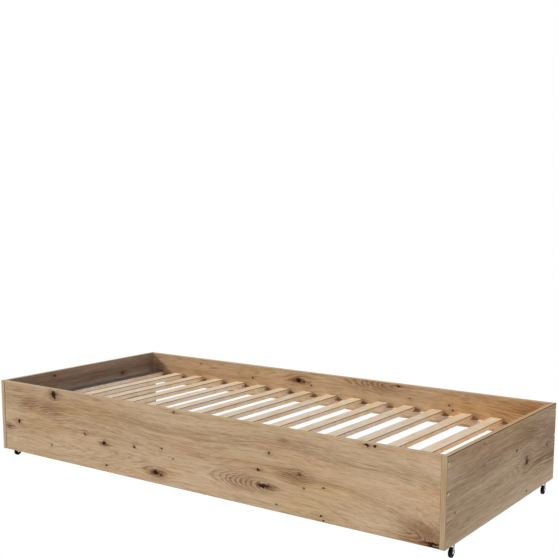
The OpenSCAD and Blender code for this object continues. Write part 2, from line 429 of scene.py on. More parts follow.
@dataclass(frozen=True)
class OakLaminate:
    """Matt printed oak with long grain, tone bands, pores and knots, and fine dark lines of painted
    shade.
    """

    name: str
    grain: Grain
    shift: float
    face: float = 0.0
    tones: OakTones = OakTones()
    figure: Figure = Figure()
    waves: OakWaves = OakWaves()
    shares: OakShares = OakShares()
    knot_edges: KnotEdges = KnotEdges()
    tone_stops: tuple[float, ...] = (0.0, 0.30, 0.58, 1.0)
    pore_edges: Pair = (0.38, 0.27)
    rosy_edges: Pair = (0.48, 0.70)
    honey_edges: Pair = (0.50, 0.68)
    halo_colour: Colour = (0.27, 0.125, 0.062)
    rim_colour: Colour = (0.13, 0.052, 0.024)
    heart_colour: Colour = (0.032, 0.013, 0.008)
    # The colour of the painted shade lines.
    seam_shade_colour: Colour = (0.07, 0.045, 0.03)
    rosy_tint: Colour = (1.02, 0.89, 0.78)
    honey_tint: Colour = (1.02, 0.97, 0.74)
    honey_shift: Point = (7.3, 1.0, 2.0)
    ragged_reach: Point = (0.020, 0.0, 0.013)
    face_depth: float = 0.008
    fall_reach: float = 0.12
    roughness: float = 0.55
    gloss: float = 0.06
    relief_depth: float = 0.0004

    def make(self) -> Material:
        """Build the material.

        Returns:
            The finished material.
        """
        g = Graph(self.name)
        waves, shares = self.waves, self.shares
        turned = g.axes(g.place(), self.grain)
        moved = g.vector("ADD", turned, (self.shift, 0.0, 0.0))
        bend, heart, rim, halo = self._knots(g, self._ragged(g, turned))
        flow, across = self._flow(g, turned, moved, bend)

        bands = g.noise(flow, waves.bands, 3.0)
        streaks = g.noise(flow, waves.streaks, 3.0, 0.65)
        ripples = g.noise(flow, waves.ripples, 2.0, 0.75)
        pores = g.smooth(g.noise(flow, waves.pores, 1.0), *self.pore_edges)
        phase = g.math("MULTIPLY", streaks, shares.years_by_streaks)
        phase = g.math("MULTIPLY_ADD", bands, shares.years_by_bands, phase)
        years = g.smooth(g.math("SINE", g.math("MULTIPLY_ADD", across, waves.years, phase)), 0.0, 1.0)

        tone: Input = shares.base
        for layer, share in ((bands, shares.bands), (streaks, shares.streaks), (ripples, shares.ripples)):
            tone = g.math("MULTIPLY_ADD", g.math("SUBTRACT", layer, 0.5), share, tone)
        lined = g.math("MULTIPLY_ADD", halo, shares.years_in_halo, shares.years)
        tone = g.math("SUBTRACT", tone, g.math("MULTIPLY", years, lined))
        tone = g.math("MULTIPLY_ADD", halo, shares.halo, tone, clamp=True)
        t = self.tones
        stops = zip(self.tone_stops, (t.line, t.dark, t.middle, t.light), strict=True)
        colour = self._tinted(g, moved, g.ramp(tone, list(stops)))

        streaky = g.math("MULTIPLY_ADD", ripples, shares.halo_by_ripples, shares.halo_base)
        streaky = g.math("MULTIPLY_ADD", years, shares.halo_by_years, streaky)
        streaky = g.math("MULTIPLY", halo, streaky, clamp=True)
        for mask, stain in (
            (g.math("MULTIPLY", pores, shares.pores), t.line),
            (streaky, self.halo_colour),
            (rim, self.rim_colour),
            (heart, self.heart_colour),
        ):
            colour = g.mix(mask, colour, stain)
        # Painted shade: the figure's fine dark lines.
        colour = self._shade_seamed(g, turned, colour)
        rough = g.math("SUBTRACT", streaks, 0.5)
        rough = g.math("MULTIPLY_ADD", rough, shares.rough_by_streaks, self.roughness)
        g.surface(colour, g.math("MULTIPLY_ADD", pores, shares.rough_by_pores, rough), self.gloss)
        # The relief has its own plain grain and leaves the knots out, which keeps the shader small
        g.bump(g.noise(moved, waves.relief, 3.0, 0.7), shares.relief, self.relief_depth)
        return g.material

    def _tinted(self, g: Graph, moved: Socket, colour: Input) -> Socket:
        """Tint some stretches of the print rosy and others like honey.

        Args:
            g: The graph.
            moved: This board's own coordinates.
            colour: The colour so far.

        Returns:
            The new colour.
        """
        rosy = g.smooth(g.noise(moved, self.waves.rosy, 3.0), *self.rosy_edges)
        colour = g.mix(g.math("MULTIPLY", rosy, self.shares.rosy), colour, self.rosy_tint, "MULTIPLY")
        honey = g.noise(g.vector("ADD", moved, self.honey_shift), self.waves.honey, 2.0)
        share = g.math("MULTIPLY", g.smooth(honey, *self.honey_edges), self.shares.honey)
        return g.mix(share, colour, self.honey_tint, "MULTIPLY")

    def _shade_seamed(self, g: Graph, turned: Socket, colour: Input) -> Input:
        """Draw the fine dark lines of painted shade.

        Args:
            g: The graph.
            turned: The turned coordinates.
            colour: The colour so far.

        Returns:
            The new colour.
        """
        spot = g.node("SeparateXYZ")
        g.put(spot.inputs[0], turned)
        for shade_seam in self.figure.shade_seams:
            away = g.math("ABSOLUTE", g.math("SUBTRACT", spot.outputs[shade_seam.part], shade_seam.place))
            line = g.smooth(away, shade_seam.width, shade_seam.width * 0.4, 0.0, shade_seam.dark)
            colour = g.mix(line, colour, self.seam_shade_colour)
        return colour

    def _ragged(self, g: Graph, place: Socket) -> Socket:
        """Shake coordinates a little, so that marks have ragged edges.

        Args:
            g: The graph.
            place: The turned coordinates.

        Returns:
            The shaken coordinates.
        """
        wobble = g.node("TexNoise")
        g.put(wobble.inputs["Vector"], place)
        g.put(wobble.inputs["Scale"], self.waves.ragged)
        g.put(wobble.inputs["Detail"], 3.0)
        g.put(wobble.inputs["Roughness"], 0.62)
        centred = g.vector("SUBTRACT", wobble.outputs["Color"], (0.5, 0.5, 0.5))
        return g.vector("MULTIPLY_ADD", centred, self.ragged_reach, place)

    def _flow(self, g: Graph, place: Socket, moved: Socket, bend: Input) -> tuple[Socket, Socket]:
        """Work out which grain line each point lies on.

        Away from the axis the lines run straight. Near it they close into arches, as they do
        where a saw cuts past the middle of a log.

        Args:
            g: The graph.
            place: The turned coordinates.
            moved: The same, shifted along to this board's own pattern.
            bend: What the knots add.

        Returns:
            Coordinates that follow the grain, and the height of the grain line.
        """
        parts = g.node("SeparateXYZ")
        g.put(parts.inputs[0], g.vector("ADD", place, bend))
        along, through, height = parts.outputs
        swell = g.math("SUBTRACT", g.noise(moved, self.waves.swell, 1.0), 0.5)
        height = g.math("MULTIPLY_ADD", swell, self.shares.swell, height)
        sunk = g.smooth(along, self.figure.fall_from, self.figure.fall_to, 0.0, self.figure.fall)
        level = self.figure.axis
        near = g.smooth(parts.outputs[2], level + self.fall_reach, level)
        height = g.math("SUBTRACT", g.math("MULTIPLY_ADD", sunk, near, height), level)
        deep: Input = self.figure.open_height
        for arch in self.figure.arches:
            start, end = arch.along - arch.length / 2, arch.along + arch.length / 2
            step = g.smooth(along, start, end, 0.0, arch.side * arch.height)
            deep = g.math("ADD", deep, step)
        squares = g.math("MULTIPLY_ADD", height, height, g.math("MULTIPLY", deep, deep))
        across = g.math("SQRT", squares)
        for fan in self.figure.fans:
            rise = g.math("SUBTRACT", parts.outputs[2], fan.across)
            turn = g.math("ARCTAN2", rise, g.math("SUBTRACT", fan.along, along))
            across = g.math("MULTIPLY_ADD", turn, fan.pull, across)
        # The middle part also grows with the height, so that wide lines near the axis still have a grain
        threaded = g.math("ADD", through, parts.outputs[2])
        joined = g.node("CombineXYZ")
        own = (g.math("ADD", along, self.shift), threaded, across)
        for socket, value in zip(joined.inputs, own, strict=True):
            g.put(socket, value)
        return joined.outputs[0], across

    def _knots(self, g: Graph, place: Socket) -> tuple[Input, Input, Input, Input]:
        """Add up what the knots do to the face.

        Args:
            g: The graph.
            place: The turned coordinates.

        Returns:
            How far the grain is bent as a vector, and the masks of the hearts, rims and halos.
        """
        bend: Input = (0.0, 0.0, 0.0)
        heart: Input = 0.0
        rim: Input = 0.0
        halo: Input = 0.0
        edges = self.knot_edges
        for knot in self.figure.knots:
            scale = (1.0 / knot.size, 1.0 / self.face_depth, 1.0 / (knot.size * knot.tall))
            middle = (knot.along, self.face, knot.across)
            offset = tuple(-m * k for m, k in zip(middle, scale, strict=True))
            away = g.vector("MULTIPLY_ADD", place, scale, offset)
            far = g.vector("LENGTH", away)
            wide = g.vector("LENGTH", g.vector("MULTIPLY", away, edges.spread))
            glow = g.smooth(wide, *edges.halo)
            rim_dark = edges.rim_dark * knot.dark * knot.halo
            heart = g.math("MAXIMUM", heart, g.smooth(far, *edges.heart, 0.0, knot.dark))
            rim = g.math("MAXIMUM", rim, g.smooth(wide, *edges.rim, 0.0, rim_dark))
            halo = g.math("MAXIMUM", halo, g.math("MULTIPLY", g.math("MULTIPLY", glow, glow), knot.halo))
            push = g.vector("SCALE", away, glow)
            bend = g.vector("MULTIPLY_ADD", push, (0.0, 0.0, -knot.bend * knot.size * knot.tall), bend)
        return bend, heart, rim, halo


@dataclass(frozen=True)
class SlatPine:
    """Planed pale wood, each slat a little different, with soft blotches and fine grain, painted light
    that lightens the sawn sides and warms the back ends, and painted shade along the top right-hand
    arris.
    """

    name: str
    grain: Grain
    pitch: float
    start: float
    half_width: float = 1.0
    top: float = 1.0
    pale: Colour = (0.62, 0.525, 0.415)
    warm: Colour = (0.59, 0.445, 0.27)
    pink: Colour = (0.54, 0.41, 0.31)
    line: Colour = (0.38, 0.27, 0.18)
    # The colour of the painted shade along the top right-hand arris.
    arris_shade: Colour = (0.12, 0.07, 0.05)
    # How much painted light lightens the sawn sides.
    side_light_tint: Colour = (1.34, 1.29, 1.26)
    blotch_waves: Point = (13.0, 18.0, 48.0)
    swell_waves: Point = (2.0, 10.0, 10.0)
    streak_waves: Point = (4.0, 60.0, 130.0)
    fine_waves: Point = (16.0, 300.0, 700.0)
    warm_edges: Pair = (0.48, 0.64)
    pink_edges: Pair = (0.48, 0.70)
    line_edges: Pair = (0.46, 0.72)
    side_light_edges: Pair = (0.75, 0.9)
    pink_share: float = 0.5
    line_share: float = 0.24
    own_value: Pair = (0.10, 0.95)
    lift: float = 0.06
    own_jump: float = 9.0
    rough_by_streak: float = 0.2
    roughness: float = 0.48
    gloss: float = 0.3
    own_tone: float = 0.10
    # Painted warm light, growing towards the back ends of the slats.
    back_warm_light: float = 0.13
    back_light_from: float = 0.05
    back_light_to: float = 0.42
    # Where the painted shade along the top right-hand arris lies, how soft it is and how strong.
    arris_shade_width: float = 2.2 * MM
    arris_shade_height: float = 3.0 * MM
    arris_shade_blur: float = 1.2 * MM
    arris_shade_strength: float = 0.72
    relief_depth: float = 0.0004

    def make(self) -> Material:
        """Build the material.

        Returns:
            The finished material.
        """
        g = Graph(self.name)
        place = g.place()
        parts = g.node("SeparateXYZ")
        g.put(parts.inputs[0], place)
        counted = g.math("MULTIPLY_ADD", parts.outputs[0], 1.0 / self.pitch, -self.start / self.pitch)
        number = g.math("FLOOR", counted)
        chance = g.node("TexWhiteNoise", noise_dimensions="1D")
        g.put(chance.inputs["W"], number)
        own = g.node("SeparateColor")
        g.put(own.inputs[0], chance.outputs["Color"])
        jump = g.vector("SCALE", chance.outputs["Color"], self.own_jump)
        turned = g.vector("ADD", g.axes(place, self.grain), jump)

        blotch = g.noise(turned, self.blotch_waves, 3.0, 0.6)
        swell = g.noise(turned, self.swell_waves, 1.0)
        bent = g.vector("ADD", turned, self._lift(g, swell))
        streak = g.noise(bent, self.streak_waves, 3.0, 0.6)
        fine = g.noise(bent, self.fine_waves, 2.0, 0.6)

        tone = g.math("MULTIPLY_ADD", g.math("SUBTRACT", own.outputs[0], 0.5), self.own_tone, blotch)
        # Painted warm light: the tone warms towards the back ends.
        back = g.smooth(parts.outputs[1], self.back_light_from, self.back_light_to)
        tone = g.math("MULTIPLY_ADD", back, self.back_warm_light, tone)
        colour = g.mix(g.smooth(tone, *self.warm_edges), self.pale, self.warm)
        rosy = g.math("MULTIPLY", g.smooth(streak, *self.pink_edges), self.pink_share)
        colour = g.mix(rosy, colour, self.pink)
        thin = g.math("MULTIPLY", g.smooth(fine, *self.line_edges), self.line_share)
        colour = g.mix(thin, colour, self.line)
        value = g.math("MULTIPLY_ADD", own.outputs[1], *self.own_value)
        colour = g.mix(1.0, colour, self._grey(g, value), "MULTIPLY")
        colour = self._side_light_and_arris_shade(g, parts, number, colour)

        rough = g.math("MULTIPLY_ADD", streak, self.rough_by_streak, self.roughness)
        g.surface(colour, rough, self.gloss)
        g.bump(g.math("ADD", streak, fine), 0.3, self.relief_depth)
        return g.material

    def _side_light_and_arris_shade(self, g: Graph, parts: bpy.types.Node, number: Input, colour: Input) -> Input:
        """Lighten the sawn sides as painted light and paint shade along the arris above the right-hand
        one.

        Args:
            g: The graph.
            parts: The node that gives X, Y and Z.
            number: The slat's number.
            colour: The colour so far.

        Returns:
            The new colour.
        """
        # Painted light: the faces turned along X, the sawn sides, are lightened.
        facing = g.node("SeparateXYZ")
        g.put(facing.inputs[0], g.node("TexCoord").outputs["Normal"])
        side = g.smooth(g.math("ABSOLUTE", facing.outputs[0]), *self.side_light_edges)
        colour = g.mix(side, colour, g.mix(1.0, colour, self.side_light_tint, "MULTIPLY"))
        # Painted shade along the top right-hand arris of each slat.
        centre = g.math("MULTIPLY_ADD", number, self.pitch, self.start + self.pitch / 2)
        out = g.math("SUBTRACT", parts.outputs[0], centre)
        near, under = self.half_width - self.arris_shade_width, self.top - self.arris_shade_height
        edge = g.smooth(out, near, near + self.arris_shade_blur)
        high = g.smooth(parts.outputs[2], under, under + self.arris_shade_blur)
        mask = g.math("MULTIPLY", g.math("MULTIPLY", edge, high), self.arris_shade_strength)
        return g.mix(mask, colour, self.arris_shade)

    def _lift(self, g: Graph, swell: Input) -> Socket:
        """Turn a swell into an offset across the grain."""
        made = g.node("CombineXYZ")
        g.put(made.inputs[2], g.math("MULTIPLY", swell, self.lift))
        return made.outputs[0]

    @staticmethod
    def _grey(g: Graph, value: Input) -> Socket:
        """Turn a number into a grey."""
        made = g.node("CombineColor")
        for socket in made.inputs[:3]:
            g.put(socket, value)
        return made.outputs[0]


@dataclass(frozen=True)
class Metal:
    """Plated metal with cloudy tone, fine scratches and duller patches."""

    name: str
    colour: Colour
    shade: Colour
    roughness: float = 0.3
    cloud: float = 160.0
    scratch: float = 900.0
    rough_by_cloud: float = 0.3
    relief_depth: float = 0.00008

    def make(self) -> Material:
        """Build the material.

        Returns:
            The finished material.
        """
        g = Graph(self.name)
        place = g.place()
        cloud = g.noise(place, (self.cloud, self.cloud, self.cloud), 3.0)
        fine = g.noise(place, (self.scratch, self.scratch * 0.2, self.scratch), 2.0)
        colour = g.mix(g.smooth(cloud, 0.4, 0.65), self.colour, self.shade)
        colour = g.mix(g.math("MULTIPLY", g.smooth(fine, 0.55, 0.7), 0.35), colour, self.shade)
        share = self.rough_by_cloud
        g.surface(colour, g.math("MULTIPLY_ADD", cloud, share, self.roughness - share / 2))
        g.put(g.shader.inputs["Metallic"], 1.0)
        g.bump(fine, 0.25, self.relief_depth)
        return g.material


@dataclass(frozen=True)
class MouldedPlastic:
    """Moulded plastic with a fine skin and cloudy rubbed patches."""

    name: str
    colour: Colour
    worn: Colour
    smoothest: float = 0.30
    rough_by_cloud: float = 0.25
    gloss: float = 0.08
    cloud: float = 120.0
    skin: float = 2600.0
    relief_depth: float = 0.00006

    def make(self) -> Material:
        """Build the material.

        Returns:
            The finished material.
        """
        g = Graph(self.name)
        place = g.place()
        cloud = g.noise(place, (self.cloud, self.cloud, self.cloud), 3.0)
        skin = g.noise(place, (self.skin, self.skin, self.skin), 1.0)
        colour = g.mix(g.smooth(cloud, 0.45, 0.75), self.colour, self.worn)
        rough = g.math("MULTIPLY_ADD", cloud, self.rough_by_cloud, self.smoothest)
        g.surface(colour, rough, self.gloss)
        g.bump(skin, 0.2, self.relief_depth)
        return g.material


# ---- Meshes ----------------------------------------------------------------


class Shop:
    """Turns finished bmeshes into objects that ride on the frame."""

    @staticmethod
    def finish(
        name: str, mesh: Mesh, material: Material, smooth_angle: float = 35.0
    ) -> Thing:
        """Merge, turn outwards, shade and link one piece.

        Args:
            name: The piece's name.
            mesh: Its bmesh, which is freed.
            material: What it is made of.
            smooth_angle: Edges sharper than this many degrees stay sharp.

        Returns:
            The object.
        """
        bmesh.ops.remove_doubles(mesh, verts=mesh.verts, dist=TOUCH)
        bmesh.ops.recalc_face_normals(mesh, faces=mesh.faces)
        limit = math.radians(smooth_angle)
        for face in mesh.faces:
            face.smooth = True
        for edge in mesh.edges:
            edge.smooth = len(edge.link_faces) == 2 and edge.calc_face_angle(0.0) < limit
        data = bpy.data.meshes.new(name)
        mesh.to_mesh(data)
        mesh.free()
        data.materials.append(material)
        made = bpy.data.objects.new(name, data)
        bpy.context.scene.collection.objects.link(made)
        return made

    @staticmethod
    def spin(mesh: Mesh, outline: Sequence[Pair], steps: int) -> list[bmesh.types.BMVert]:
        """Turn an outline of (radius, height) about Z into a solid.

        Args:
            mesh: The bmesh to add to.
            outline: The points, in order; a radius of 0 lies on the axis.
            steps: How many steps a full turn has.

        Returns:
            The new vertices.
        """
        before = set(mesh.verts)
        verts = [mesh.verts.new((radius, 0.0, height)) for radius, height in outline]
        edges = [mesh.edges.new(pair) for pair in zip(verts, verts[1:], strict=False)]
        bmesh.ops.spin(
            mesh,
            geom=[*verts, *edges],
            cent=(0.0, 0.0, 0.0),
            axis=(0.0, 0.0, 1.0),
            angle=2.0 * math.pi,
            steps=steps,
            use_merge=True,
        )
        added = [v for v in mesh.verts if v not in before]
        bmesh.ops.remove_doubles(mesh, verts=added, dist=TOUCH)
        return [v for v in mesh.verts if v not in before]

    @staticmethod
    def lay(mesh: Mesh, centre: Vector) -> None:
        """Lay a piece that was spun about Z along X, and move it to its place.

        Args:
            mesh: The piece's bmesh.
            centre: Where its middle goes.
        """
        turn = Matrix.Rotation(math.pi / 2, 3, "Y")
        bmesh.ops.rotate(mesh, cent=(0, 0, 0), matrix=turn, verts=mesh.verts)
        bmesh.ops.translate(mesh, vec=centre, verts=mesh.verts)

    @staticmethod
    def dome(radius: float, foot: float, rise: float, steps: int) -> list[Pair]:
        """List points over a dome of an outline, from below its top down to its rim.

        Args:
            radius: The dome's radius.
            foot: The height of its rim.
            rise: Its height above the rim.
            steps: The number of chords.

        Returns:
            The points, without the top's own.
        """
        angles = [math.radians(90.0 * i / steps) for i in reversed(range(steps))]
        return [(radius * math.cos(a), foot + rise * math.sin(a)) for a in angles]

    @staticmethod
    def arc(centre: Pair, radius: float, start: float, end: float, steps: int) -> list[Pair]:
        """List points along an arc of an outline.

        Args:
            centre: The arc's centre.
            radius: Its radius.
            start: Its first angle in degrees.
            end: Its last angle in degrees.
            steps: The number of chords.

        Returns:
            The points.
        """
        angles = [math.radians(start + (end - start) * i / steps) for i in range(steps + 1)]
        return [(centre[0] + radius * math.cos(a), centre[1] + radius * math.sin(a)) for a in angles]


@dataclass
class Castor:
    """One swivel castor: a black wheel on a riveted axle in a pressed steel fork."""

    corner: Corner
    steel: Material
    bright: Material
    black: Material
    dark: Material
    tread_round: float = 1.5 * MM
    rim_width: float = 3.2 * MM
    web_depth: float = 0.95 * MM
    wheel_bore: float = 2.05 * MM
    boss_radius: float = 4.4 * MM
    boss_proud: float = 0.4 * MM
    boss_round: float = 0.5 * MM
    fine_round: float = 0.25 * MM
    rim_round: float = 0.3 * MM
    rib_count: int = 6
    rib_thickness: float = 1.1 * MM
    arm_thickness: float = 1.5 * MM
    bend_radius: float = 2.2 * MM
    bend_steps: int = 5
    arm_half: float = 5.0 * MM
    tip_radius: float = 4.5 * MM
    tip_steps: int = 12
    arm_round: float = 0.3 * MM
    sharp: float = 60.0
    socket_gap: float = 0.3 * MM
    stem_radius: float = 4.0 * MM
    stem_round: float = 0.8 * MM
    stem_head: float = 1.4 * MM
    axle_radius: float = 2.0 * MM
    head_rise: float = 1.0 * MM
    head_radius: float = 3.5 * MM
    head_steps: int = 6
    socket_bore: float = 4.05 * MM
    socket_wall: float = 1.2 * MM
    flange_rise: float = 1.2 * MM
    flange_round: float = 0.5 * MM
    lip_round: float = 0.3 * MM
    wheel_steps: int = 64
    stem_steps: int = 40
    axle_steps: int = 32

    def node(self, part: str) -> str:
        """Give the name of one of this castor's nodes."""
        return f"{self.corner.value}_castor_{part}"

    def build(self) -> list[Thing]:
        """Build and dress the castor.

        Returns:
            The new pieces.
        """
        made = [self._wheel(), self._fork(), self._axle(), self._socket()]
        fork_body, wheel_body = f"{self.corner.value}_fork", f"{self.corner.value}_wheel"
        for piece, body, slot in zip(
            made,
            (wheel_body, fork_body, fork_body, "box"),
            ("black_wheel", "fork_steel", "fork_steel", "socket_steel"),
            strict=True,
        ):
            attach(piece, body)
        return made

    def _wheel(self) -> Thing:
        """Model the wheel: rounded tread, sunk web with ribs, and a boss.

        Returns:
            The wheel.
        """
        low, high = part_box(self.node("wheel"))
        centre = (low + high) / 2
        radius = (high.z - low.z) / 2
        hub_half = (high.x - low.x) / 2
        half = hub_half - self.boss_proud
        bore, boss = self.wheel_bore, self.boss_radius
        rim = radius - self.rim_width
        web = half - self.web_depth
        tread = (radius - self.tread_round, half - self.tread_round)
        side = [
            (bore, hub_half - self.fine_round),
            (bore + self.fine_round, hub_half),
            (boss - self.boss_round, hub_half),
            (boss, hub_half - self.boss_round),
            (boss + self.rim_round, web),
            (rim - self.rim_round, web),
            (rim, half - self.rim_round),
            (rim + self.rim_round, half),
            *Shop.arc(tread, self.tread_round, 90.0, 0.0, self.bend_steps),
        ]
        outline = [*side, *[(r, -z) for r, z in reversed(side)], side[0]]
        mesh = bmesh.new()
        Shop.spin(mesh, outline, self.wheel_steps)
        rib_size = (rim - boss, self.rib_thickness, 2 * (half - self.fine_round))
        for index in range(self.rib_count):
            rib = bmesh.ops.create_cube(mesh, size=1.0)["verts"]
            middle = (rim + boss) / 2
            turn = Matrix.Rotation(2 * math.pi * index / self.rib_count, 4, "Z")
            bmesh.ops.scale(mesh, vec=rib_size, verts=rib)
            bmesh.ops.translate(mesh, vec=(middle, 0.0, 0.0), verts=rib)
            bmesh.ops.transform(mesh, matrix=turn, verts=rib)
        Shop.lay(mesh, centre)
        made = Shop.finish(self.node("wheel_moulded"), mesh, self.black)
        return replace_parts(made, self.node("wheel"))

    def _fork(self) -> Thing:
        """Model the fork: a strip bent over the wheel, rounded arms and the riveted stem.

        Returns:
            The fork.
        """
        low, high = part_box(self.node("fork"))
        wheel_low, wheel_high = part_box(self.node("wheel"))
        socket_low, socket_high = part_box(self.node("socket"))
        axle = (wheel_low + wheel_high) / 2
        swivel_y = (socket_low.y + socket_high.y) / 2
        top = socket_low.z - self.socket_gap
        outer = (high.x - low.x) / 2
        mesh = bmesh.new()
        self._bend_sheet(mesh, outer - self.arm_thickness / 2, top - self.arm_thickness / 2, axle.z)
        bmesh.ops.recalc_face_normals(mesh, faces=mesh.faces)
        bmesh.ops.solidify(mesh, geom=mesh.faces[:], thickness=self.arm_thickness)
        self._fit_sheet(mesh, outer, top)
        lean = (swivel_y - axle.y) / (top - axle.z)
        lean_row = (0, 1, lean, axle.y - lean * axle.z)
        shear = Matrix(((1, 0, 0, axle.x), lean_row, (0, 0, 1, 0), (0, 0, 0, 1)))
        bmesh.ops.transform(mesh, matrix=shear, verts=mesh.verts)
        sharp = math.radians(self.sharp)
        rim = [e for e in mesh.edges if len(e.link_faces) == 2 and e.calc_face_angle(0.0) > sharp]
        bmesh.ops.bevel(
            mesh, geom=rim, offset=self.arm_round, segments=2, profile=0.5, affect="EDGES", material=-1
        )
        inner = self.stem_radius - self.stem_round
        foot = top - self.stem_head
        stem = [
            (0.0, foot),
            (inner, foot),
            (self.stem_radius, foot + self.stem_round / 2),
            (self.stem_radius, high.z - self.stem_round),
            (inner, high.z),
            (0.0, high.z),
        ]
        verts = Shop.spin(mesh, stem, self.stem_steps)
        bmesh.ops.translate(mesh, vec=(axle.x, swivel_y, 0.0), verts=verts)
        made = Shop.finish(self.node("fork_pressed"), mesh, self.steel, 40.0)
        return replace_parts(made, self.node("fork"))

    def _bend_sheet(self, mesh: Mesh, reach: float, crown: float, axle_z: float) -> None:
        """Bend a strip into an upside-down U, and round its two ends about the axle.

        Args:
            mesh: The empty bmesh.
            reach: Half the distance between the arms' middles.
            crown: The height of the strip's middle at the top.
            axle_z: The height of the axle.
        """
        bend = self.bend_radius
        path = [
            (-reach, axle_z),
            *Shop.arc((-reach + bend, crown - bend), bend, 180.0, 90.0, self.bend_steps),
            *Shop.arc((reach - bend, crown - bend), bend, 90.0, 0.0, self.bend_steps),
            (reach, axle_z),
        ]
        verts = [mesh.verts.new((x, -self.arm_half, z)) for x, z in path]
        edges = [mesh.edges.new(pair) for pair in zip(verts, verts[1:], strict=False)]
        for _ in range(2):
            grown = bmesh.ops.extrude_edge_only(mesh, edges=edges)["geom"]
            edges = [e for e in grown if isinstance(e, bmesh.types.BMEdge)]
            moved = [v for v in grown if isinstance(v, bmesh.types.BMVert)]
            bmesh.ops.translate(mesh, vec=(0.0, self.arm_half, 0.0), verts=moved)
        tips = [v for v in mesh.verts if abs(v.co.z - axle_z) < TOUCH]
        bmesh.ops.scale(mesh, vec=(1.0, self.tip_radius / self.arm_half, 1.0), verts=tips)
        for side in (-1.0, 1.0):
            row = [v for v in tips if v.co.x * side > 0.0 and v.co.y > -TOUCH]
            edge = [e for e in mesh.edges if all(v in row for v in e.verts)]
            bmesh.ops.spin(
                mesh,
                geom=[*row, *edge],
                cent=(side * reach, 0.0, axle_z),
                axis=(-1.0, 0.0, 0.0),
                angle=math.pi,
                steps=self.tip_steps,
                use_merge=False,
            )
        bmesh.ops.remove_doubles(mesh, verts=mesh.verts, dist=TOUCH)

    @staticmethod
    def _fit_sheet(mesh: Mesh, outer: float, top: float) -> None:
        """Centre and stretch the thickened strip so that its faces lie where the fork's do.

        Args:
            mesh: The fork's bmesh.
            outer: Half the fork's outer width.
            top: The height of its top.
        """
        wide = max(abs(v.co.x) for v in mesh.verts)
        high = max(v.co.z for v in mesh.verts)
        bmesh.ops.scale(mesh, vec=(outer / wide, 1.0, 1.0), verts=mesh.verts)
        bmesh.ops.translate(mesh, vec=(0.0, 0.0, top - high), verts=mesh.verts)

    def _axle(self) -> Thing:
        """Model the axle: a rod with a domed rivet head at each end.

        Returns:
            The axle.
        """
        low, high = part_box(self.node("axle"))
        centre = (low + high) / 2
        half = (high.x - low.x) / 2
        neck = half - self.head_rise
        dome = Shop.dome(self.head_radius, neck, self.head_rise, self.head_steps)
        side = [(0.0, half), *dome, (self.axle_radius, neck)]
        mesh = bmesh.new()
        Shop.spin(mesh, [*side, *[(r, -z) for r, z in reversed(side)]], self.axle_steps)
        Shop.lay(mesh, centre)
        made = Shop.finish(self.node("axle_riveted"), mesh, self.bright)
        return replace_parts(made, self.node("axle"))

    def _socket(self) -> Thing:
        """Model the flanged socket with a rolled lip.

        Returns:
            The socket.
        """
        low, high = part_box(self.node("socket"))
        centre = (low + high) / 2
        flange = (high.x - low.x) / 2
        bore = self.socket_bore
        wall = bore + self.socket_wall
        step = low.z + self.flange_rise
        outline = [
            (bore, high.z),
            (bore, low.z + self.lip_round),
            (bore + self.lip_round, low.z),
            (flange - self.flange_round, low.z),
            (flange, low.z + self.flange_round),
            (flange, step),
            (wall, step),
            (wall, high.z),
            (bore, high.z),
        ]
        mesh = bmesh.new()
        Shop.spin(mesh, outline, self.stem_steps)
        bmesh.ops.translate(mesh, vec=(centre.x, centre.y, 0.0), verts=mesh.verts)
        made = Shop.finish(self.node("socket_flanged"), mesh, self.dark)
        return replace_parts(made, self.node("socket"))


@dataclass
class ScrewCovers:
    """The domed covers on one end board's screws."""

    side: str
    brass: Material
    rise: float = 2.0 * MM
    radius: float = 6.0 * MM
    groove: float = 0.35 * MM
    dome_share: float = 0.78
    dome_foot: float = 0.42
    dome_steps: int = 7
    steps: int = 48

    def build(self) -> Thing:
        """Model the four covers of this end as one piece.

        Returns:
            The finished piece.
        """
        node = f"{self.side}_end_screw_caps"
        low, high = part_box(node)
        outward = 1.0 if self.side == "right" else -1.0
        face = (high.x if outward > 0 else -low.x) - self.rise
        mesh = bmesh.new()
        foot = self.rise * self.dome_foot
        outline = [
            (0.0, self.rise),
            *Shop.dome(self.radius * self.dome_share, foot, self.rise - foot, self.dome_steps),
            (self.radius * 0.80, foot - self.groove),
            (self.radius * 0.88, self.rise * 0.36),
            (self.radius * 0.97, self.rise * 0.26),
            (self.radius, self.rise * 0.12),
            (self.radius, 0.0),
            (0.0, 0.0),
        ]
        half = self.radius
        for y in (low.y + half, high.y - half):
            for z in (low.z + half, high.z - half):
                verts = Shop.spin(mesh, outline, self.steps)
                turn = Matrix.Rotation(outward * math.pi / 2, 4, "Y")
                placed = Matrix.Translation((outward * face, y, z)) @ turn
                bmesh.ops.transform(mesh, matrix=placed, verts=verts)
        made = Shop.finish(f"{node}_domed", mesh, self.brass)
        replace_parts(made, node)
        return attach(made, "box")


# ---- The box ---------------------------------------------------------------


